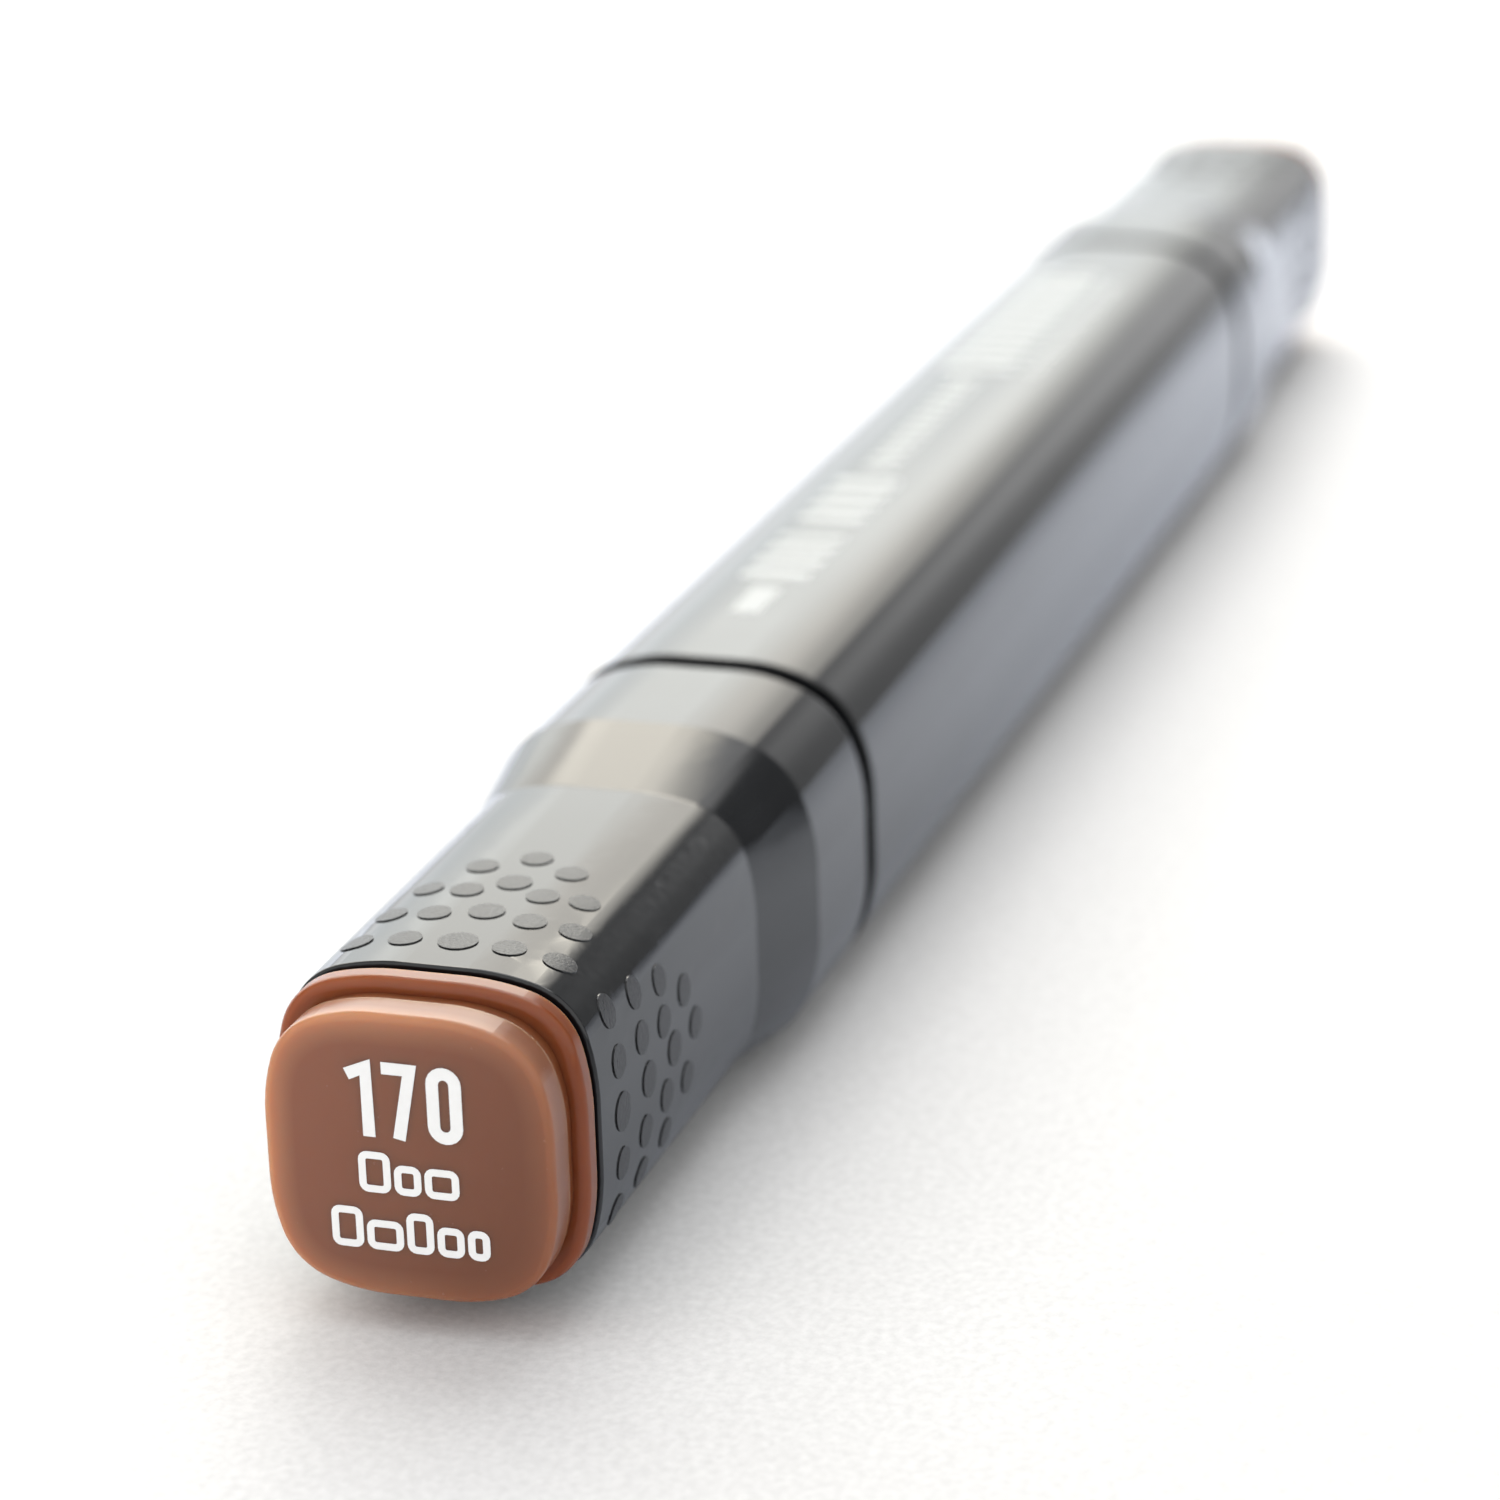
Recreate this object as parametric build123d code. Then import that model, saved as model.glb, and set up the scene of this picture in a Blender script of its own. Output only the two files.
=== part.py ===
from build123d import *
import math
import os

# Double-ended felt tip marker with a squared barrel, lying along X.
# Origin: centre of the marker, on its long axis. +Z is up and the marker rests on its -Z side.
# The broad nib and its cap are at -X, the fine nib and its cap are at +X.
# Every end piece is drawn pointing along +X and then placed at its own end of the barrel.

# Barrel
barrel_length = 79.0
barrel_wall = 1.2
barrel_end_round = 0.15
rib_thickness = 0.8
rib_end_gap = 0.5

# Nib holders, measured outward from the barrel's end face
collar_thickness = 1.2
collar_recess = 0.75
holder_tail_length = 6.5
holder_tail_chamfer = 0.4
spigot_length = 7.0
spigot_round = 0.5
neck_length = 5.5
neck_radius = 4.2
neck_overlap = 1.0
holder_seat_depth = 2.0
broad_bore_radius = 3.5
broad_nose_length = 5.7
broad_nose_root_radius = 4.0
broad_nose_radius = 3.75
broad_nose_round = 0.3
broad_socket_length = 8.0
fine_bore_radius = 2.7
fine_nose_length = 8.2
fine_nose_root_radius = 3.4
fine_nose_radius = 1.75
fine_nose_round = 0.25
fine_socket_length = 10.0

# Nibs
broad_nib_width = 5.6
broad_nib_thickness = 3.0
broad_nib_reach = 6.5
broad_nib_slant = 2.6
broad_nib_edge = 1.1
broad_nib_bevel = 4.0
broad_nib_corner = 0.4
fine_nib_radius = 1.0
fine_nib_reach = 3.5
fine_nib_cone = 2.6
fine_nib_tip_radius = 0.4
fine_nib_tip_round = 0.32
nib_grip_in_reservoir = 3.0

# Ink reservoir
reservoir_radius = 4.6
reservoir_length = 73.0
sleeve_thickness = 0.15
sleeve_length = 71.0

# Caps, measured outward from the cap's mouth
cap_wall = 1.3
cap_band_length = 7.5
cap_shoulder_length = 5.65
cap_grip_length = 19.65
cap_step_depth = 8.6
cap_mouth_round = 0.2
cap_shoulder_round = 0.8
cap_rim_round = 0.15
grip_wall = 1.2
liner_flange_thickness = 1.0
liner_wall = 0.75
liner_length = 20.1
liner_end_thickness = 0.8
liner_end_round = 0.8
liner_floor_round = 0.5

# Raised dots on the four sides of the cap's grip. Each entry is one dot: its distance from the
# rim, its distance from the side's centre line (mirrored to the other half) and its radius.
dot_height = 0.05
dot_pattern = [
    (2.5, 0.0, 0.80),
    (5.65, 0.0, 0.74),
    (8.75, 0.0, 0.72),
    (11.4, 0.0, 0.67),
    (2.4, 2.15, 0.68),
    (5.1, 2.0, 0.68),
    (7.65, 1.6, 0.68),
    (10.2, 1.9, 0.67),
    (2.4, 4.2, 0.66),
    (5.15, 3.85, 0.65),
    (7.8, 3.3, 0.63),
]

# End plugs, measured outward from the cap's rim
plug_skirt_length = 4.0
plug_skirt_wall = 0.9
plug_skirt_chamfer = 0.3
plug_web = 0.5
plug_gap = 0.32
plug_flange_inset = 0.08
plug_flange_thickness = 1.1
plug_flange_round = 0.42
plug_flange_back_round = 0.12
plug_root_length = 0.68
plug_root_inset = 0.1
plug_boss_height = 1.6
plug_boss_round = 0.32

# Clearances
press_gap = 0.02
slide_gap = 0.05
seat_gap = 0.05

# Outlines: half width, half length of the flat, radius of the crowned side, corner radius
barrel_outline = (7.5, 1.5, 8.15, 4.0)
grip_root_outline = (6.5, 1.3, 10.2, 3.0)
grip_rim_outline = (6.45, 1.3, 10.2, 3.0)
boss_outline = (5.88, 1.2, 7.6, 3.0)

barrel_end = barrel_length / 2
cap_mouth = barrel_end + collar_thickness + seat_gap
cap_length = cap_band_length + cap_shoulder_length + cap_grip_length
neck_start = collar_thickness + spigot_length
nose_start = neck_start + neck_length
reservoir_end = reservoir_length / 2 - barrel_end
sleeve_radius = reservoir_radius + press_gap + sleeve_thickness
liner_start = cap_step_depth - liner_flange_thickness


def inset(outline, distance):
    """The same outline moved inward by a distance, or outward if it is negative."""
    half, flat, side_radius, corner_radius = outline
    return (half - distance, flat, side_radius - distance, corner_radius - distance)


def section(x, outline):
    """A face across X: a square with flat-centred crowned sides and round corners."""
    half, flat, side_radius, corner_radius = outline
    side_y = half - side_radius
    reach = side_radius - corner_radius
    total = flat + side_y
    corner = (total + math.sqrt(total**2 - 2 * (flat**2 + side_y**2 - reach**2))) / 2
    tangent_angle = math.atan2(corner - side_y, corner - flat)
    middle_angle = (tangent_angle + math.pi / 2) / 2

    def on_side(angle):
        return (flat + side_radius * math.cos(angle), side_y + side_radius * math.sin(angle))

    corner_middle = corner + corner_radius * math.sqrt(0.5)
    start = (flat, half)
    join = on_side(tangent_angle)
    bend = on_side(middle_angle)
    quarter = [
        Edge.make_line((-flat, half), start),
        Edge.make_three_point_arc(start, bend, join),
        Edge.make_three_point_arc(join, (corner_middle, corner_middle), join[::-1]),
        Edge.make_three_point_arc(join[::-1], bend[::-1], start[::-1]),
    ]
    edges = [edge.rotate(Axis.Z, -90 * turn) for turn in range(4) for edge in quarter]
    plane = Plane(origin=(x, 0, 0), x_dir=(0, 1, 0), z_dir=(1, 0, 0))
    return plane * Face(Wire(edges))


def prism(start, end, outline):
    """A squared bar along X."""
    return extrude(section(start, outline), end - start, dir=(1, 0, 0))


def taper(start, start_outline, end, end_outline):
    """A bar along X that runs straight from one outline to another."""
    return loft([section(start, start_outline), section(end, end_outline)], ruled=True)


def rod(start, end, radius, end_radius=None):
    """A round bar or cone along X."""
    length = end - start
    place = Pos(start, 0, 0) * Rot(0, 90, 0)
    align = (Align.CENTER, Align.CENTER, Align.MIN)
    if end_radius is None:
        return place * Cylinder(radius, length, align=align)
    return place * Cone(radius, end_radius, length, align=align)


def slab(start, end, width, thickness):
    """A rectangular bar along X with rounded long edges, wide across Y."""
    plane = Plane(origin=(start, 0, 0), x_dir=(0, 1, 0), z_dir=(1, 0, 0))
    profile = plane * RectangleRounded(width, thickness, broad_nib_corner)
    return extrude(profile, end - start, dir=(1, 0, 0))


def edges_at(solid, x):
    """The edges that lie in the plane across X at x."""
    tolerance = 0.001
    return solid.edges().filter_by_position(Axis.X, x - tolerance, x + tolerance)


def to_broad_end(solid):
    """Turn a piece drawn for the +X end round to the -X end."""
    return Rot(0, 0, 180) * solid


def barrel():
    """Squared tube, open at both ends, with four ribs that centre the reservoir."""
    outer = prism(-barrel_end, barrel_end, barrel_outline)
    ends = edges_at(outer, -barrel_end) + edges_at(outer, barrel_end)
    outer = fillet(ends, barrel_end_round)
    cavity_outline = inset(barrel_outline, barrel_wall)
    cavity = prism(-barrel_end, barrel_end, cavity_outline)
    rib_reach = barrel_end - holder_tail_length - rib_end_gap
    rib_inner = sleeve_radius + slide_gap
    rib_outer = barrel_outline[0] - barrel_wall / 2
    rib_length = 2 * rib_reach
    rib = Pos(0, 0, (rib_inner + rib_outer) / 2) * Box(
        rib_length, rib_thickness, rib_outer - rib_inner
    )
    body = outer - cavity
    for turn in range(4):
        body += Rot(90 * turn, 0, 0) * rib
    return body


def reservoir_fibre():
    """Bonded fibre rod with a pocket at each end where a nib's tail is pushed in."""
    half = reservoir_length / 2
    body = rod(-half, half, reservoir_radius)
    pocket = slab(
        half - nib_grip_in_reservoir,
        half,
        broad_nib_width + 2 * press_gap,
        broad_nib_thickness + 2 * press_gap,
    )
    hole = rod(half - nib_grip_in_reservoir, half, fine_nib_radius + press_gap)
    return body - to_broad_end(pocket) - hole


def reservoir_sleeve():
    """Thin film tube round the fibre rod."""
    half = sleeve_length / 2
    outer = rod(-half, half, sleeve_radius)
    return outer - rod(-half, half, reservoir_radius + press_gap)


def holder_blank():
    """The part of a nib holder that both ends share, from its tail to its neck."""
    tail = prism(-holder_tail_length, 0, inset(barrel_outline, barrel_wall + press_gap))
    tail = chamfer(edges_at(tail, -holder_tail_length), holder_tail_chamfer)
    collar = prism(0, collar_thickness, inset(barrel_outline, collar_recess))
    spigot = prism(collar_thickness, neck_start, inset(barrel_outline, cap_wall + slide_gap))
    spigot = fillet(edges_at(spigot, neck_start), spigot_round)
    neck = rod(neck_start - neck_overlap, nose_start, neck_radius)
    seat = rod(-holder_tail_length, -holder_seat_depth, sleeve_radius + slide_gap)
    return tail + collar + spigot + neck - seat


def broad_nib_holder():
    """Black holder for the chisel nib, with the ring between barrel and cap as its collar."""
    nose_end = nose_start + broad_nose_length
    nose = rod(nose_start, nose_end, broad_nose_root_radius, broad_nose_radius)
    nose = fillet(edges_at(nose, nose_end), broad_nose_round)
    socket = slab(
        -holder_seat_depth,
        nose_end,
        broad_nib_width + 2 * press_gap,
        broad_nib_thickness + 2 * press_gap,
    )
    hollow = rod(-holder_seat_depth, nose_end - broad_socket_length, broad_bore_radius)
    body = holder_blank() + nose - socket - hollow
    return to_broad_end(Pos(barrel_end, 0, 0) * body)


def broad_nib():
    """Felt block nib with a slanted, wedge-shaped writing edge."""
    tail = reservoir_end - nib_grip_in_reservoir + press_gap
    tip = nose_start + broad_nose_length + broad_nib_reach
    half_width = broad_nib_width / 2
    half_edge = broad_nib_edge / 2
    half_thickness = broad_nib_thickness / 2
    bar = slab(tail, tip, broad_nib_width, broad_nib_thickness)
    slanted = Polyline(
        (tail, -half_width),
        (tip, -half_width),
        (tip - broad_nib_slant, half_width),
        (tail, half_width),
        close=True,
    )
    slanted_block = extrude(make_face(slanted), broad_nib_thickness, both=True)
    wedge = Polyline(
        (tail, -half_thickness),
        (tip - broad_nib_bevel, -half_thickness),
        (tip, -half_edge),
        (tip, half_edge),
        (tip - broad_nib_bevel, half_thickness),
        (tail, half_thickness),
        close=True,
    )
    wedge_block = extrude(Plane.XZ * make_face(wedge), broad_nib_width, both=True)
    return to_broad_end(Pos(barrel_end, 0, 0) * (bar & slanted_block & wedge_block))


def fine_nib_holder():
    """Black holder for the fine nib, with a long tapered nose."""
    nose_end = nose_start + fine_nose_length
    nose = rod(nose_start, nose_end, fine_nose_root_radius, fine_nose_radius)
    nose = fillet(edges_at(nose, nose_end), fine_nose_round)
    socket = rod(-holder_seat_depth, nose_end, fine_nib_radius + press_gap)
    hollow = rod(-holder_seat_depth, nose_end - fine_socket_length, fine_bore_radius)
    return Pos(barrel_end, 0, 0) * (holder_blank() + nose - socket - hollow)


def fine_nib():
    """Round felt nib with a conical, round-ended point."""
    tail = reservoir_end - nib_grip_in_reservoir + press_gap
    tip = nose_start + fine_nose_length + fine_nib_reach
    shaft = rod(tail, tip - fine_nib_cone, fine_nib_radius)
    point = rod(tip - fine_nib_cone, tip, fine_nib_radius, fine_nib_tip_radius)
    nib = fillet(edges_at(shaft + point, tip), fine_nib_tip_round)
    return Pos(barrel_end, 0, 0) * nib


def grip_solid(margin):
    """The grip's outer form, moved outward by a margin."""
    return taper(
        cap_length - cap_grip_length,
        inset(grip_root_outline, -margin),
        cap_length,
        inset(grip_rim_outline, -margin),
    )


def cap_dots():
    """Raised discs on the four sides of the grip, thinning out away from the rim."""
    skin = grip_solid(dot_height) - grip_solid(-dot_height)
    studs = []
    for from_rim, from_centre, radius in dot_pattern:
        stud = Cylinder(radius, grip_root_outline[0], align=(Align.CENTER, Align.CENTER, Align.MIN))
        sides = {-from_centre, from_centre}
        studs += [Pos(cap_length - from_rim, side, grip_root_outline[0] / 2) * stud for side in sides]
    return [skin & (Rot(90 * turn, 0, 0) * stud) for turn in range(4) for stud in studs]


def cap_shell():
    """Cap: a band flush with the barrel, a shoulder, and a narrower grip with raised dots."""
    shoulder_end = cap_band_length + cap_shoulder_length
    band = prism(0, cap_band_length, barrel_outline)
    shoulder = taper(cap_band_length, barrel_outline, shoulder_end, grip_root_outline)
    outer = band + shoulder + grip_solid(0)
    outer = fillet(edges_at(outer, 0), cap_mouth_round)
    outer = fillet(edges_at(outer, shoulder_end), cap_shoulder_round)
    outer = fillet(edges_at(outer, cap_length), cap_rim_round)
    for dot in cap_dots():
        outer += dot
    mouth = prism(0, cap_step_depth, inset(barrel_outline, cap_wall))
    bore = prism(cap_step_depth, cap_length, inset(grip_rim_outline, grip_wall))
    return outer - mouth - bore


def cap_liner():
    """Inner cup that closes round the holder's neck and seals the nib from the air."""
    inner_radius = neck_radius + slide_gap
    outer_radius = inner_radius + liner_wall
    end = liner_start + liner_length
    flange = prism(liner_start, cap_step_depth - press_gap, inset(barrel_outline, cap_wall + press_gap))
    cup = rod(liner_start, end, outer_radius)
    cup = fillet(edges_at(cup, end), liner_end_round)
    hollow = rod(liner_start, end - liner_end_thickness, inner_radius)
    hollow = fillet(edges_at(hollow, end - liner_end_thickness), liner_floor_round)
    return flange + cup - hollow


def cap_end_plug():
    """Colour plug: a skirt pressed into the cap, a rounded flange, a groove and a raised boss."""
    skirt_start = cap_length - plug_skirt_length
    web_start = cap_length - plug_web
    flange_start = cap_length + plug_gap
    flange_end = flange_start + plug_flange_thickness
    boss_start = flange_end + plug_root_length
    boss_end = boss_start + plug_boss_height
    skirt_outline = inset(grip_rim_outline, grip_wall + press_gap)
    stem = prism(skirt_start, flange_start, skirt_outline)
    stem = chamfer(edges_at(stem, skirt_start), plug_skirt_chamfer)
    hollow = prism(skirt_start, web_start, inset(skirt_outline, plug_skirt_wall))
    flange = prism(flange_start, flange_end, inset(grip_rim_outline, plug_flange_inset))
    flange = fillet(edges_at(flange, flange_end), plug_flange_round)
    flange = fillet(edges_at(flange, flange_start), plug_flange_back_round)
    root_outline = inset(boss_outline, plug_root_inset)
    root = prism(flange_end, boss_start, root_outline)
    boss = prism(boss_start, boss_end, boss_outline)
    boss = fillet(edges_at(boss, boss_end), plug_boss_round)
    return stem + flange + root + boss - hollow


def write(name, solid):
    """Write one piece to its own STEP file."""
    solid.label = name
    export_step(solid, f"parts/{name}.step")


os.makedirs("parts", exist_ok=True)

write("barrel", barrel())
write("reservoir_fibre", reservoir_fibre())
write("reservoir_sleeve", reservoir_sleeve())
write("broad_nib_holder", broad_nib_holder())
write("broad_nib", broad_nib())
write("fine_nib_holder", fine_nib_holder())
write("fine_nib", fine_nib())

for piece_name, piece in (
    ("cap_shell", cap_shell()),
    ("cap_liner", cap_liner()),
    ("cap_end_plug", cap_end_plug()),
):
    placed = Pos(cap_mouth, 0, 0) * piece
    write(f"fine_{piece_name}", placed)
    write(f"broad_{piece_name}", to_broad_end(placed))
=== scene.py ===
import math

import bmesh
import bpy
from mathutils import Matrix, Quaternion, Vector
from mathutils.bvhtree import BVHTree


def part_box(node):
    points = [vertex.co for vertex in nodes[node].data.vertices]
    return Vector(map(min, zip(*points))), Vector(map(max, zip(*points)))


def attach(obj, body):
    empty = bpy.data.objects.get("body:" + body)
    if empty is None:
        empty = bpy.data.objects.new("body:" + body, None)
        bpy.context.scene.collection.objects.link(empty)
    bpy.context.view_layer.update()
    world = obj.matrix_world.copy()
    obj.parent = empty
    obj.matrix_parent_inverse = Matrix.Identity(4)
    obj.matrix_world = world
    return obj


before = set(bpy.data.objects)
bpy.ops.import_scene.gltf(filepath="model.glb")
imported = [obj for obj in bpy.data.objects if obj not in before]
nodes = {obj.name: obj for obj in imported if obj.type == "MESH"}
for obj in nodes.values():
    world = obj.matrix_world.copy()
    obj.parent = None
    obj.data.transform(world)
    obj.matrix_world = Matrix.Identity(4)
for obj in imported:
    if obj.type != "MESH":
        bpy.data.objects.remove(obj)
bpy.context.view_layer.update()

MM = 0.001

# Telling the dot tops apart from the rest of a cap, in degrees and square millimetres
SOFT_EDGE_ANGLE = 35
SMALLEST_DOT_TOP = 0.3
LARGEST_DOT_TOP = 2.6
FLATNESS = 0.9
FLATNESS_OF_ENDS = 0.95

# Thickness of the print in millimetres: how far it stands proud, and how far it reaches in
PLUG_INK = 0.015
BARREL_INK = 0.012
INK_ROOT = 0.03


# ---------------------------------------------------------------- node helpers

def new_material(name):
    """A material with an empty node tree apart from its output, a principled shader and a position."""
    material = bpy.data.materials.new(name)
    material.use_nodes = True
    tree = material.node_tree
    tree.nodes.clear()
    output = tree.nodes.new("ShaderNodeOutputMaterial")
    shader = tree.nodes.new("ShaderNodeBsdfPrincipled")
    tree.links.new(shader.outputs["BSDF"], output.inputs["Surface"])
    position = tree.nodes.new("ShaderNodeTexCoord").outputs["Object"]
    return material, tree, shader, position


def noise(tree, position, size, detail=3.0, roughness=0.5, stretch=(1, 1, 1)):
    """Noise whose blobs are about `size` millimetres across, longer where stretch is below one."""
    mapping = tree.nodes.new("ShaderNodeMapping")
    mapping.inputs["Scale"].default_value = stretch
    texture = tree.nodes.new("ShaderNodeTexNoise")
    texture.inputs["Scale"].default_value = 1 / (size * MM)
    texture.inputs["Detail"].default_value = detail
    texture.inputs["Roughness"].default_value = roughness
    tree.links.new(position, mapping.inputs["Vector"])
    tree.links.new(mapping.outputs["Vector"], texture.inputs["Vector"])
    return texture.outputs["Fac"]


def remap(tree, value, low, high, start=0.3, end=0.7):
    """Stretch a 0..1 value between start and end over low..high."""
    node = tree.nodes.new("ShaderNodeMapRange")
    node.inputs["From Min"].default_value = start
    node.inputs["From Max"].default_value = end
    node.inputs["To Min"].default_value = low
    node.inputs["To Max"].default_value = high
    tree.links.new(value, node.inputs["Value"])
    return node.outputs["Result"]


def blend_colours(tree, factor, first, second):
    """Mix two colours by a 0..1 value; each colour is a socket or three numbers."""
    node = tree.nodes.new("ShaderNodeMix")
    node.data_type = "RGBA"
    for socket, colour in zip(node.inputs[6:8], (first, second)):
        if isinstance(colour, tuple):
            socket.default_value = (*colour, 1)
        else:
            tree.links.new(colour, socket)
    tree.links.new(factor, node.inputs["Factor"])
    return node.outputs[2]


def math_node(tree, operation, first, second):
    """A maths node; each input is a socket or a number."""
    node = tree.nodes.new("ShaderNodeMath")
    node.operation = operation
    for socket, value in zip(node.inputs, (first, second)):
        if isinstance(value, (int, float)):
            socket.default_value = value
        else:
            tree.links.new(value, socket)
    return node.outputs["Value"]


def coordinates(tree, position):
    """The three coordinates of a position, as sockets."""
    split = tree.nodes.new("ShaderNodeSeparateXYZ")
    tree.links.new(position, split.inputs["Vector"])
    return split.outputs["X"], split.outputs["Y"], split.outputs["Z"]


def times(tree, first, *others):
    """The product of two or more sockets or numbers."""
    for other in others:
        first = math_node(tree, "MULTIPLY", first, other)
    return first


def plus(tree, first, *others):
    """The sum of two or more sockets or numbers."""
    for other in others:
        first = math_node(tree, "ADD", first, other)
    return first


def size_of(tree, value):
    """A socket's value without its sign."""
    return math_node(tree, "ABSOLUTE", value, 0)


def bump(tree, shader, *layers):
    """Chain bump layers, each a height value and its depth in millimetres, into the shader."""
    normal = None
    for height, depth in layers:
        node = tree.nodes.new("ShaderNodeBump")
        node.inputs["Distance"].default_value = depth * MM
        node.inputs["Strength"].default_value = 1
        tree.links.new(height, node.inputs["Height"])
        if normal is not None:
            tree.links.new(normal, node.inputs["Normal"])
        normal = node.outputs["Normal"]
    tree.links.new(normal, shader.inputs["Normal"])


# ---------------------------------------------------------------- materials

def shell_plastic():
    """Polished charcoal plastic with moulding waviness and faint hairline scratches."""
    material, tree, shader, position = new_material("shell_plastic_polished")
    tint = remap(tree, noise(tree, position, 9), 0, 1)
    colour = blend_colours(tree, tint, (0.016, 0.017, 0.018), (0.024, 0.025, 0.027))
    tree.links.new(colour, shader.inputs["Base Color"])
    smudge = noise(tree, position, 5, 4, 0.6)
    hairs = noise(tree, position, 0.25, 2, 0.6, (0.06, 1, 1))
    roughness = plus(tree, remap(tree, smudge, 0.05, 0.11), remap(tree, hairs, 0, 0.03, 0.55, 0.8))
    tree.links.new(roughness, shader.inputs["Roughness"])
    shader.inputs["IOR"].default_value = 1.5
    waviness = noise(tree, position, 6, 1, 0.4, (0.35, 1, 1))
    bump(tree, shader, (waviness, 0.012), (hairs, 0.0006))
    return material


def dot_plastic():
    """The same plastic left matt and grainy on the tops of the grip dots."""
    material, tree, shader, position = new_material("grip_dot_matt")
    grain = noise(tree, position, 0.13, 2, 0.7)
    colour = blend_colours(tree, remap(tree, grain, 0, 1), (0.006, 0.006, 0.007), (0.045, 0.046, 0.048))
    tree.links.new(colour, shader.inputs["Base Color"])
    tree.links.new(remap(tree, grain, 0.27, 0.45), shader.inputs["Roughness"])
    shader.inputs["IOR"].default_value = 1.5
    bump(tree, shader, (grain, 0.035))
    return material


def holder_plastic():
    """Black satin plastic with a fine spark-eroded grain."""
    material, tree, shader, position = new_material("holder_plastic_black")
    grain = noise(tree, position, 0.15, 3, 0.6)
    patches = noise(tree, position, 4)
    colour = blend_colours(tree, remap(tree, patches, 0, 1), (0.004, 0.004, 0.005), (0.008, 0.009, 0.01))
    tree.links.new(colour, shader.inputs["Base Color"])
    tree.links.new(remap(tree, grain, 0.28, 0.42), shader.inputs["Roughness"])
    shader.inputs["Specular IOR Level"].default_value = 0.2
    bump(tree, shader, (grain, 0.004))
    return material


def plug_colour_and_painted_light(tree, position):
    """Brown, deeper on the flange, with painted light: a painted glow round the boss's rim, most of all
    where light comes in, and painted shade on the side away from the light.
    """
    x, y, z = coordinates(tree, position)
    fourths = [math_node(tree, "POWER", size_of(tree, side), 4) for side in (y, z)]
    from_axis = math_node(tree, "POWER", plus(tree, *fourths), 0.25)
    towards_light = plus(tree, y, times(tree, z, 0.55))
    boss_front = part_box("fine_cap_end_plug")[1].x
    outward = size_of(tree, x)
    rim = remap(tree, from_axis, 0, 1, 4.6 * MM, 6.3 * MM)
    light_side = remap(tree, towards_light, 0.15, 1, -6 * MM, 6 * MM)
    front_edge = remap(tree, outward, 0.35, 1, boss_front - 0.9 * MM, boss_front - 0.35 * MM)
    # Painted glow: near the boss's front rim, on the side the light comes from.
    glow = times(tree, rim, light_side, front_edge)
    # Painted shade: boss and flange are painted darker on the side away from the light.
    shade = remap(tree, towards_light, 0, 1, -5 * MM, 6 * MM)
    boss = blend_colours(tree, shade, (0.215, 0.084, 0.047), (0.305, 0.127, 0.079))
    # The painted glow is a pale orange.
    boss = blend_colours(tree, glow, boss, (0.58, 0.31, 0.17))
    flange = blend_colours(tree, shade, (0.2, 0.056, 0.018), (0.28, 0.085, 0.028))
    behind_boss = remap(tree, outward, 1, 0, boss_front - 2.1 * MM, boss_front - 1.4 * MM)
    return blend_colours(tree, behind_boss, boss, flange)


def plug_plastic():
    """Waxy brown plastic that light goes into, with pores and scuffs."""
    material, tree, shader, position = new_material("plug_plastic_brown")
    # The base colour carries the painted glow and painted shade.
    tree.links.new(plug_colour_and_painted_light(tree, position), shader.inputs["Base Color"])
    shader.inputs["Subsurface Weight"].default_value = 1.0
    shader.inputs["Subsurface Radius"].default_value = (1.0, 0.6, 0.35)
    shader.inputs["Subsurface Scale"].default_value = 2.2 * MM
    speck = remap(tree, noise(tree, position, 0.3, 1), 0, 1, 0.8, 0.84)
    smudge = noise(tree, position, 2.5, 4, 0.6)
    roughness = plus(tree, remap(tree, smudge, 0.22, 0.26), times(tree, speck, 0.3))
    tree.links.new(roughness, shader.inputs["Roughness"])
    shader.inputs["IOR"].default_value = 1.49
    shader.inputs["Specular IOR Level"].default_value = 0.42
    ripple = noise(tree, position, 3.2, 1, 0.4)
    grain = noise(tree, position, 0.22, 3, 0.6)
    bump(tree, shader, (ripple, 0.01), (grain, 0.001), (speck, 0.004))
    return material


def liner_plastic():
    """Natural white plastic, slightly milky."""
    material, tree, shader, position = new_material("liner_plastic_white")
    cloud = remap(tree, noise(tree, position, 4), 0, 1)
    colour = blend_colours(tree, cloud, (0.66, 0.66, 0.62), (0.74, 0.74, 0.71))
    tree.links.new(colour, shader.inputs["Base Color"])
    shader.inputs["Subsurface Weight"].default_value = 0.4
    shader.inputs["Subsurface Radius"].default_value = (1, 1, 1)
    shader.inputs["Subsurface Scale"].default_value = 0.6 * MM
    tree.links.new(remap(tree, noise(tree, position, 1), 0.35, 0.5), shader.inputs["Roughness"])
    bump(tree, shader, (noise(tree, position, 0.4), 0.004))
    return material


def felt(name, dark, light, fibre_size):
    """Pressed fibre that runs along the marker, soaked with ink."""
    material, tree, shader, position = new_material(name)
    fibres = noise(tree, position, fibre_size, 4, 0.65, (0.12, 1, 1))
    fuzz = noise(tree, position, fibre_size * 0.6, 3, 0.7)
    stain = noise(tree, position, 2.2, 2)
    mix = times(tree, remap(tree, fibres, 0.35, 1), remap(tree, stain, 0.75, 1))
    tree.links.new(blend_colours(tree, mix, dark, light), shader.inputs["Base Color"])
    tree.links.new(remap(tree, fuzz, 0.75, 0.95), shader.inputs["Roughness"])
    shader.inputs["Sheen Weight"].default_value = 0.35
    shader.inputs["Sheen Roughness"].default_value = 0.5
    bump(tree, shader, (fibres, 0.05), (fuzz, 0.03))
    return material


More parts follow.
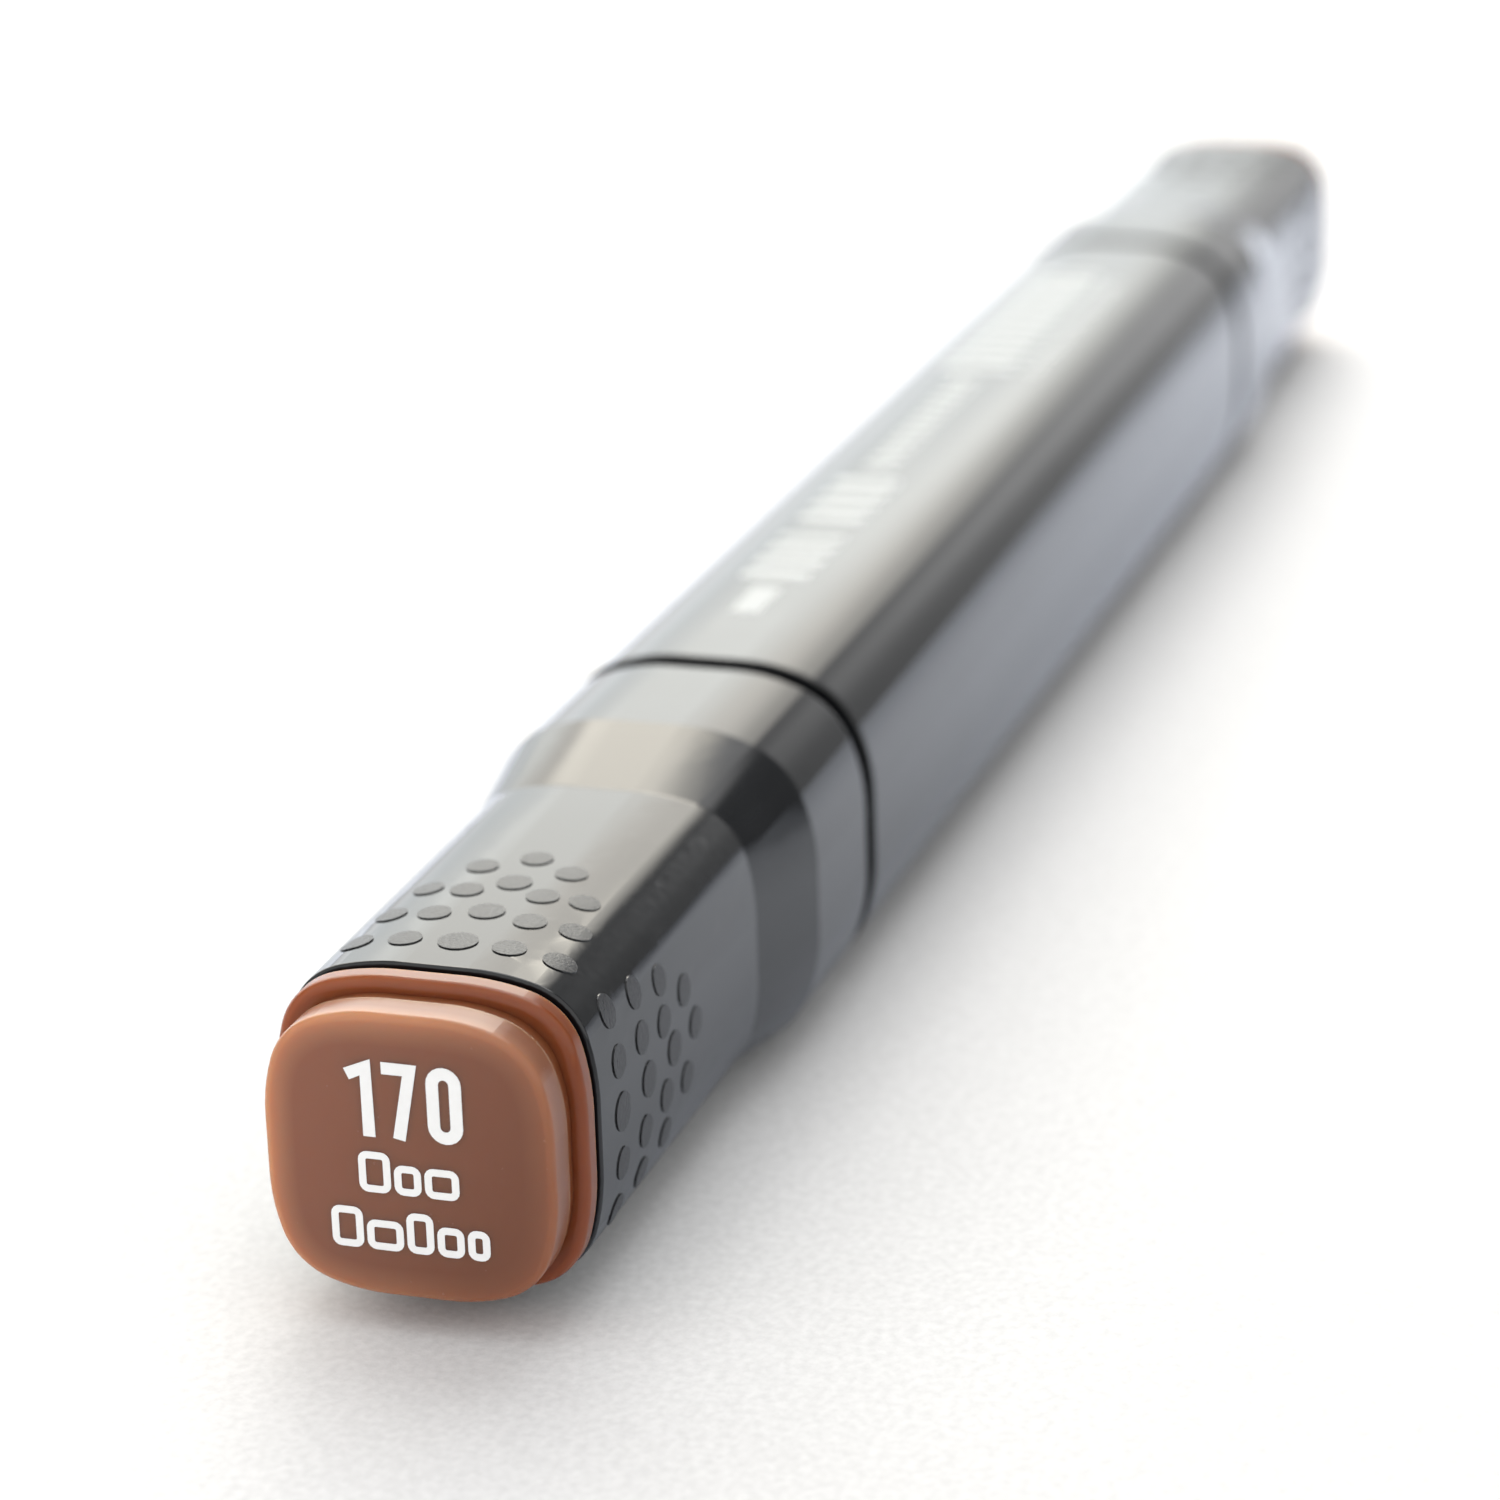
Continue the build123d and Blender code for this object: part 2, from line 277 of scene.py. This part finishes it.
def sleeve_film():
    """Thin milky film."""
    material, tree, shader, position = new_material("sleeve_film_milky")
    streaks = noise(tree, position, 1.2, 3, 0.5, (0.2, 1, 1))
    colour = blend_colours(tree, remap(tree, streaks, 0, 1), (0.55, 0.50, 0.46), (0.7, 0.66, 0.62))
    tree.links.new(colour, shader.inputs["Base Color"])
    tree.links.new(remap(tree, streaks, 0.15, 0.3), shader.inputs["Roughness"])
    bump(tree, shader, (streaks, 0.01))
    return material


def print_ink(name, dark, light):
    """Pad-printed ink, slightly mottled."""
    material, tree, shader, position = new_material(name)
    mottle = noise(tree, position, 0.3, 3, 0.6)
    colour = blend_colours(tree, remap(tree, mottle, 0, 1), dark, light)
    tree.links.new(colour, shader.inputs["Base Color"])
    tree.links.new(remap(tree, mottle, 0.35, 0.5), shader.inputs["Roughness"])
    bump(tree, shader, (mottle, 0.002))
    return material


def dress(node, *materials):
    """Give a CAD node its materials in place of the ones it came with."""
    slots = nodes[node].data.materials
    slots.clear()
    for material in materials:
        slots.append(material)


# ---------------------------------------------------------------- material slots on the CAD meshes

def smooth_patches(shape):
    """Groups of a mesh's faces that meet each other without a sharp edge."""
    corner_of = {}
    merged = []
    for vertex in shape.vertices:
        key = tuple(round(value / (0.002 * MM)) for value in vertex.co)
        merged.append(corner_of.setdefault(key, len(corner_of)))
    faces_on_edge = {}
    for face in shape.polygons:
        ring = [merged[index] for index in face.vertices]
        for start, end in zip(ring, ring[1:] + ring[:1]):
            faces_on_edge.setdefault(frozenset((start, end)), []).append(face)
    neighbours = {face.index: [] for face in shape.polygons}
    for pair in faces_on_edge.values():
        if len(pair) == 2 and pair[0].normal.angle(pair[1].normal, 0) < math.radians(SOFT_EDGE_ANGLE):
            neighbours[pair[0].index].append(pair[1].index)
            neighbours[pair[1].index].append(pair[0].index)
    seen = set()
    for start in neighbours:
        if start in seen:
            continue
        patch, queue = [], [start]
        seen.add(start)
        while queue:
            index = queue.pop()
            patch.append(shape.polygons[index])
            fresh = [other for other in neighbours[index] if other not in seen]
            seen.update(fresh)
            queue.extend(fresh)
        yield patch


def mark_dots(node, dot_slot):
    """Put the dot tops, the small flat patches raised off the grip, on their own material slot."""
    for patch in smooth_patches(nodes[node].data):
        area = sum(face.area for face in patch)
        if SMALLEST_DOT_TOP < area / MM**2 < LARGEST_DOT_TOP:
            facing = sum((face.normal * face.area for face in patch), Vector()).length / area
            if facing > FLATNESS:
                for face in patch:
                    face.material_index = dot_slot


def mark_ends(node, end_slot):
    """Put the flat faces across a tube's ends on their own material slot."""
    for face in nodes[node].data.polygons:
        if abs(face.normal.x) > FLATNESS_OF_ENDS:
            face.material_index = end_slot


# ---------------------------------------------------------------- printed marks, in millimetres

def add_mesh(name, grid, material):
    """Turn a bmesh into an object of the scene with one material."""
    shape = bpy.data.meshes.new(name)
    grid.to_mesh(shape)
    grid.free()
    shape.materials.append(material)
    piece = bpy.data.objects.new(name, shape)
    bpy.context.scene.collection.objects.link(piece)
    return piece


def band_edges(path, half_width, closed, blunt=1.5):
    """Left and right edges of a band along a path. Outer corners end at `blunt` half widths."""
    count = len(path)
    left, right = [], []
    for index, point in enumerate(path):
        before = path[index - 1] if closed or index > 0 else None
        after = path[(index + 1) % count] if closed or index < count - 1 else None
        ahead = (after - point).normalized() if after is not None else (point - before).normalized()
        behind = (point - before).normalized() if before is not None else ahead
        normal_ahead = Vector((-ahead.y, ahead.x))
        normal_behind = Vector((-behind.y, behind.x))
        mitre = (normal_ahead + normal_behind).normalized()
        inner = half_width / mitre.dot(normal_ahead)
        outer = min(inner, half_width * blunt)
        turns_left = behind.x * ahead.y > behind.y * ahead.x
        left.append(point + mitre * (inner if turns_left else outer))
        right.append(point - mitre * (outer if turns_left else inner))
    return left, right


def arc(centre, radius, start, end, steps=10):
    """Points on a circle's arc between two angles in degrees."""
    angles = [math.radians(start + (end - start) * step / steps) for step in range(steps + 1)]
    return [Vector(centre) + radius * Vector((math.cos(angle), math.sin(angle))) for angle in angles]


def digit_path(digit, width, height, stroke):
    """The centre line of a condensed 0, 1 or 7 with its lower left corner at the origin."""
    inner = stroke / 2
    low, high = inner, height - inner
    west, east = inner, width - inner
    if digit == "1":
        return [Vector((0, height * 0.8)), Vector((east, high)), Vector((east, 0))], False
    if digit == "7":
        return [Vector((0, high)), Vector((east, high)), Vector((width * 0.42, 0))], False
    radius = (east - west) / 2
    middle = (west + east) / 2
    ring = arc((middle, high - radius), radius, 0, 180) + arc((middle, low + radius), radius, 180, 360)
    return ring, True


def number_row(text, middle, height, stroke, gap):
    """The bands of a row of figures, centred left to right, whose middle is at a height."""
    widths = {"1": 1.05, "7": 1.4, "0": 1.42}
    total = sum(widths[digit] for digit in text) + gap * (len(text) - 1)
    corner = Vector((-total / 2, middle - height / 2))
    row = []
    for digit in text:
        path, closed = digit_path(digit, widths[digit], height, stroke)
        row.append(([point + corner for point in path], closed, stroke))
        corner.x += widths[digit] + gap
    return row


def letter_box(left, low, width, height, stroke, radius=0.22):
    """An empty round-cornered box that stands in for one letter."""
    margin = stroke / 2 + radius
    west, east = left + margin, left + width - margin
    bottom, top = low + margin, low + height - margin
    corners = ((east, top, 0), (west, top, 90), (west, bottom, 180), (east, bottom, 270))
    path = [point for x, y, start in corners for point in arc((x, y), radius, start, start + 90, 4)]
    return path, True, stroke


def box_row(left, low, sizes, gap, stroke):
    """A row of letter boxes in place of a word; each size is a width and a height."""
    row = []
    for width, height in sizes:
        row.append(letter_box(left, low, width, height, stroke))
        left += width + gap
    return row


def bar(left, low, width, height, step=0.3):
    """A plain upright bar as a band that runs up its middle, so that it can follow a crown."""
    steps = max(1, math.ceil(height / step))
    middle = left + width / 2
    path = [Vector((middle, low + height * index / steps)) for index in range(steps + 1)]
    return path, False, width


def bar_row(left, low, widths, gap, height):
    """A row of plain bars in place of a word."""
    row = []
    for width in widths:
        row.append(bar(left, low, width, height))
        left += width + gap
    return row


def printed(name, bands, place, body, ink):
    """Thin raised print: each band becomes a closed solid strip that `place` puts on the object."""
    grid = bmesh.new()
    for path, closed, stroke in bands:
        rings = []
        for left, right in zip(*band_edges(path, stroke / 2, closed)):
            corners = ((left, True), (left, False), (right, True), (right, False))
            rings.append([grid.verts.new(place(point, on_top)) for point, on_top in corners])
        following = rings[1:] + rings[:1] if closed else rings[1:]
        for first, second in zip(rings, following):
            for a, b in ((0, 2), (2, 3), (3, 1), (1, 0)):
                grid.faces.new((first[a], first[b], second[b], second[a]))
        if not closed:
            for ring in (rings[0], rings[-1]):
                grid.faces.new((ring[0], ring[1], ring[3], ring[2]))
    bmesh.ops.recalc_face_normals(grid, faces=grid.faces)
    piece = add_mesh(name, grid, ink)
    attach(piece, body)


def plug_place(node, outward):
    """Puts print points on an end plug's face; outward is -1 at the broad end and 1 at the fine end."""
    low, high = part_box(node)
    face = low.x if outward < 0 else high.x

    def place(point, on_top):
        lift = PLUG_INK if on_top else -INK_ROOT
        return Vector((face + outward * lift * MM, outward * point.x * MM, point.y * MM))

    return place


def barrel_place():
    """Puts print points on the barrel's upper side, following its crown."""
    shape = nodes["barrel"].data
    corners = [vertex.co.copy() for vertex in shape.vertices]
    surface = BVHTree.FromPolygons(corners, [face.vertices[:] for face in shape.polygons])
    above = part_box("barrel")[1].z * 2

    def place(point, on_top):
        start = Vector((point.x * MM, point.y * MM, above))
        hit = surface.ray_cast(start, Vector((0, 0, -1)))[0]
        lift = BARREL_INK if on_top else -INK_ROOT
        return hit + Vector((0, 0, lift * MM))

    return place


# ---------------------------------------------------------------- put the looks on

polished = shell_plastic()
matt_dots = dot_plastic()
black = holder_plastic()
brown = plug_plastic()
white_plastic = liner_plastic()
soaked_rod = felt("reservoir_fibre_soaked", (0.05, 0.018, 0.009), (0.16, 0.06, 0.03), fibre_size=0.12)
nib_felt = felt("nib_felt_soaked", (0.07, 0.025, 0.012), (0.24, 0.095, 0.05), fibre_size=0.07)
white_ink = print_ink("print_ink_white", (0.95, 0.95, 0.94), (0.98, 0.98, 0.975))
silver_ink = print_ink("print_ink_silver", (0.43, 0.45, 0.45), (0.48, 0.50, 0.50))

dress("barrel", polished, black)
mark_ends("barrel", 1)
dress("reservoir_fibre", soaked_rod)
dress("reservoir_sleeve", sleeve_film())
for end in ("broad", "fine"):
    dress(f"{end}_cap_shell", polished, matt_dots, black)
    mark_dots(f"{end}_cap_shell", 1)
    mark_ends(f"{end}_cap_shell", 2)
    dress(f"{end}_cap_end_plug", brown)
    dress(f"{end}_cap_liner", white_plastic)
    dress(f"{end}_nib_holder", black)
    dress(f"{end}_nib", nib_felt)

tall, short = 1.7, 1.25
short_word = ((1.3, tall), (1.1, short), (1.4, short))
long_word = ((1.3, tall), (1.5, short), (1.1, tall), (1.1, short), (0.9, short))
plug_marks = number_row("170", middle=2.4, height=3.15, stroke=0.5, gap=0.38)
plug_marks += box_row(left=-2.05, low=-1.5, sizes=short_word, gap=0.14, stroke=0.3)
plug_marks += box_row(left=-3.3, low=-3.9, sizes=long_word, gap=0.14, stroke=0.3)
for end, outward in (("broad", -1), ("fine", 1)):
    place = plug_place(f"{end}_cap_end_plug", outward)
    printed(f"{end}_cap_print", plug_marks, place, f"{end}_cap", white_ink)

barrel_marks = [bar(left=-33.0, low=-0.2, width=3.8, height=1.4)]
barrel_marks += bar_row(left=-27.8, low=-0.9, widths=(1.2, 1.2, 1.2, 0.8), gap=0.85, height=3.3)
barrel_marks += bar_row(left=-18.6, low=-0.9, widths=(1.2,) * 4, gap=0.85, height=3.3)
barrel_marks += bar_row(left=-9.2, low=0.1, widths=(0.8,) * 12, gap=0.7, height=1.6)
barrel_marks += bar_row(left=10.0, low=-1.0, widths=(1.1,) * 12, gap=0.75, height=4.1)
barrel_marks += bar_row(left=10.0, low=-2.5, widths=(0.7,) * 17, gap=0.5, height=0.7)
printed("barrel_print", barrel_marks, barrel_place(), "marker", silver_ink)


# ---------------------------------------------------------------- floor, light and camera

def floor_material():
    """Pale and faintly grainy, with painted light. Mirror rays find it cooler, glowing brighter far off
    and painted dark along one side; the camera sees it glow brighter far from the marker.
    """
    material, tree, shader, position = new_material("floor_pale_painted_light")
    grain = noise(tree, position, 0.4, 4, 0.6)
    x, y, _ = coordinates(tree, position)
    rays = tree.nodes.new("ShaderNodeLightPath").outputs
    mirrored, seen = rays["Is Glossy Ray"], rays["Is Camera Ray"]

    # Painted reflection shade: mirror rays find the floor darker far out to one side and towards the
    # near end.
    painted_reflection_close_by = remap(tree, y, 0.3, 1, -0.1, -0.025)
    painted_reflection_far_end = remap(tree, x, 0.6, 0.95, -0.09, 0)
    plain = blend_colours(tree, remap(tree, grain, 0, 1), (0.80, 0.80, 0.80), (0.91, 0.91, 0.91))
    # Painted reflection colour: mirror rays see a cool tint instead of the plain floor.
    painted_reflection_colour = blend_colours(tree, times(tree, painted_reflection_close_by, painted_reflection_far_end), (0, 0, 0), (0.82, 0.86, 0.94))
    tree.links.new(blend_colours(tree, mirrored, plain, painted_reflection_colour), shader.inputs["Base Color"])

    # Painted reflection sheen: the floor glows for mirror rays, more towards the far end.
    sheen = times(tree, painted_reflection_close_by, remap(tree, x, 0.0, 0.6, -0.02, 0.11))
    squares = [math_node(tree, "POWER", size_of(tree, side), 2) for side in (x, y)]
    distance = math_node(tree, "SQRT", plus(tree, *squares), 0)
    # Painted glow: the camera sees the floor glow, rising from 0.25 m to 0.7 m out from the marker.
    painted_floor_glow = remap(tree, distance, 0, 0.7, 0.25, 0.7)
    strength = plus(tree, times(tree, mirrored, sheen), times(tree, seen, painted_floor_glow))
    tree.links.new(strength, shader.inputs["Emission Strength"])
    # The painted reflection sheen has a cool tint.
    tint = blend_colours(tree, mirrored, (1, 1, 1), (0.88, 0.94, 1.12))
    tree.links.new(tint, shader.inputs["Emission Color"])

    shader.inputs["Roughness"].default_value = 0.7
    shader.inputs["Specular IOR Level"].default_value = 0.2
    bump(tree, shader, (grain, 0.04))
    return material


def floor(reach=3.0, gap=0.02 * MM):
    """A pale table top just under the marker."""
    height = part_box("barrel")[0].z - gap
    grid = bmesh.new()
    bmesh.ops.create_grid(grid, x_segments=8, y_segments=8, size=reach)
    bmesh.ops.translate(grid, verts=grid.verts, vec=(0, 0, height))
    add_mesh("floor", grid, floor_material())


def direction(azimuth, elevation):
    """Unit vector; azimuth 0 is +X, turning towards +Y."""
    a, e = math.radians(azimuth), math.radians(elevation)
    return Vector((math.cos(a) * math.cos(e), math.sin(a) * math.cos(e), math.sin(e)))


def ramp(tree, value, *stops):
    """A smooth colour ramp; each stop is a position and a linear colour."""
    node = tree.nodes.new("ShaderNodeValToRGB")
    node.color_ramp.interpolation = "EASE"
    points = node.color_ramp.elements
    while len(points) < len(stops):
        points.new(0.5)
    for point, (place, colour) in zip(points, stops):
        point.position = place
        point.color = (*colour, 1)
    tree.links.new(value, node.inputs["Fac"])
    return node.outputs["Color"]


def softbox(name, aim_x, azimuth, elevation, distance, width, height, radiance, tints):
    """A softbox with fading edges that the camera doesn't see, aimed at a point on the X axis.

    The tints are stops up its height, each a share of the height and a linear colour.
    """
    data = bpy.data.lights.new(name, "AREA")
    data.shape = "RECTANGLE"
    data.size = width
    data.size_y = height
    data.energy = math.pi * width * height
    data.use_nodes = True
    tree = data.node_tree
    tree.nodes.clear()
    output = tree.nodes.new("ShaderNodeOutputLight")
    emission = tree.nodes.new("ShaderNodeEmission")
    tree.links.new(emission.outputs["Emission"], output.inputs["Surface"])
    across, up, _ = coordinates(tree, tree.nodes.new("ShaderNodeTexCoord").outputs["UV"])
    unlit, full = (0, 0, 0), (1, 1, 1)
    strength = radiance
    for axis, fade in ((across, 0.23), (up, 0.2)):
        window = ramp(tree, axis, (0, unlit), (fade, full), (0.8, full), (1, unlit))
        strength = times(tree, window, strength)
    tree.links.new(strength, emission.inputs["Strength"])
    tree.links.new(ramp(tree, up, *tints), emission.inputs["Color"])
    lamp = bpy.data.objects.new(name, data)
    bpy.context.scene.collection.objects.link(lamp)
    back = direction(azimuth, elevation)
    lamp.location = Vector((aim_x, 0, 0)) + back * distance
    lamp.rotation_mode = "QUATERNION"
    lamp.rotation_quaternion = back.to_track_quat("Z", "Y")
    lamp.visible_camera = False


def studio():
    """A bright room in front. Behind the marker it is dark, with a glow low on each side."""
    world = bpy.data.worlds.new("studio")
    bpy.context.scene.world = world
    world.use_nodes = True
    tree = world.node_tree
    tree.nodes.clear()
    output = tree.nodes.new("ShaderNodeOutputWorld")
    background = tree.nodes.new("ShaderNodeBackground")
    tree.links.new(background.outputs["Background"], output.inputs["Surface"])
    x, y, z = coordinates(tree, tree.nodes.new("ShaderNodeTexCoord").outputs["Generated"])
    azimuth = math_node(tree, "ARCTAN2", y, x)
    elevation = math_node(tree, "ARCSINE", z, 0)
    behind = remap(tree, x, 0, 1, 0, 0.4)

    forward = plus(tree, times(tree, x, -0.95), times(tree, y, -0.3))
    room = remap(tree, forward, 0, 1.3, -0.35, 0.15)

    rise = plus(tree, times(tree, azimuth, 7.2), 2.4)
    brightness = math_node(tree, "MINIMUM", math_node(tree, "EXPONENT", rise, 0), 2.0)
    low_down = remap(tree, elevation, 1, 0.2, 0.3, 0.47)
    right_side = remap(tree, azimuth, 1, 0.1, -0.14, 0.1)
    right_glow = times(tree, brightness, low_down, behind, right_side)

    left_side = remap(tree, azimuth, 0, 1.4, 0, 0.2)
    at_horizon = remap(tree, elevation, 1, 0, 0.05, 0.2)
    left_glow = times(tree, left_side, at_horizon, behind)

    seen = tree.nodes.new("ShaderNodeLightPath").outputs["Is Camera Ray"]
    unseen = math_node(tree, "SUBTRACT", 1.0, seen)
    lit = times(tree, plus(tree, right_glow, left_glow, room), unseen)
    tree.links.new(plus(tree, lit, times(tree, seen, 1.25)), background.inputs["Strength"])


def plug_camera():
    """Close, low and off the broad end's corner, focused on the near plug."""
    low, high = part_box("broad_cap_end_plug")
    near_face = Vector((low.x, 0, 0))
    data = bpy.data.cameras.new("camera")
    data.sensor_width = 36
    data.lens = 109.8
    data.clip_start = 0.01
    data.clip_end = 20
    data.dof.use_dof = True
    data.dof.aperture_fstop = 36
    camera = bpy.data.objects.new("camera", data)
    bpy.context.scene.collection.objects.link(camera)
    camera.location = near_face + Vector((-0.1455, -0.0619, 0.0732))
    camera.rotation_mode = "QUATERNION"
    look = Vector((0.8932, 0.2933, -0.3409))
    roll = Quaternion((0, 0, 1), math.radians(-1.8))
    camera.rotation_quaternion = look.to_track_quat("-Z", "Y") @ roll
    focus = bpy.data.objects.new("focus", None)
    bpy.context.scene.collection.objects.link(focus)
    focus.location = near_face + Vector((2 * MM, 0, high.z / 2))
    data.dof.focus_object = focus
    bpy.context.scene.camera = camera


floor()
studio()
key_tints = (
    (0.2, (0.66, 0.70, 0.71)),
    (0.32, (0.96, 0.99, 0.97)),
    (0.41, (1.38, 1.40, 1.34)),
    (0.6, (1.38, 1.33, 1.22)),
)
warm, white = (1.0, 0.94, 0.80), (1, 1, 1)
softbox(
    "key", aim_x=0, azimuth=38, elevation=27, distance=0.46, width=0.8, height=0.46,
    radiance=2.5, tints=key_tints,
)
softbox(
    "kicker", aim_x=-0.05, azimuth=17, elevation=39, distance=0.5, width=0.29, height=0.16,
    radiance=3.4, tints=((0.3, warm), (0.7, warm)),
)
softbox(
    "top", aim_x=0.12, azimuth=90, elevation=90, distance=0.3, width=0.32, height=0.32,
    radiance=2.8, tints=((0.3, white), (0.7, white)),
)
plug_camera()
bpy.context.scene.view_settings.view_transform = "Standard"
